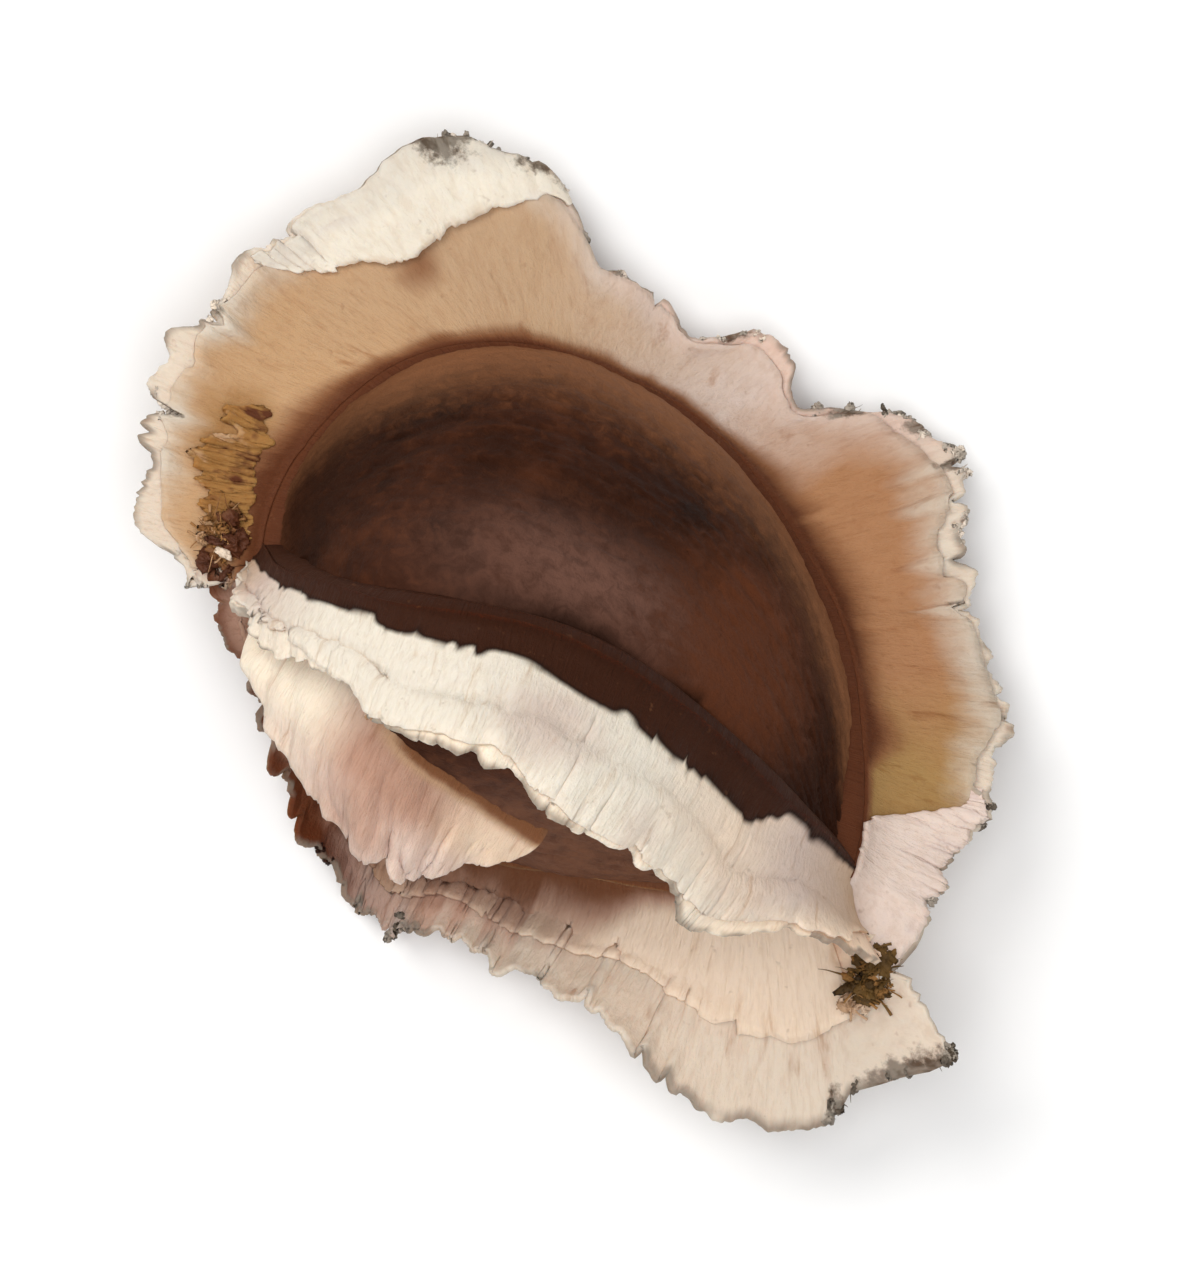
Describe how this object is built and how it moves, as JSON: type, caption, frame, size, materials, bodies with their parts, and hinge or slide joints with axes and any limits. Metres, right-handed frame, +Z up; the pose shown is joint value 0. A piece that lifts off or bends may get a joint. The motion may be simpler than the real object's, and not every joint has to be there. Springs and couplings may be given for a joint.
{
  "type": "moringa seed",
  "caption": "Dark three-cornered seed hull lying on one side, with a torn papery wing along each corner.",
  "frame": {"origin": "On the surface that the seed lies on, at the centre of the small flat spot under the widest part of the hull.", "axes": "+X runs along the seed to its pointed end, +Y points to the wing that is spread on the surface, and +Z is up."},
  "size_m": [0.0173, 0.0119, 0.0096],
  "materials": {
    "seed": "matte"
  },
  "bodies": {
    "root": {"seed": "seed"}
  },
  "joints": []
}
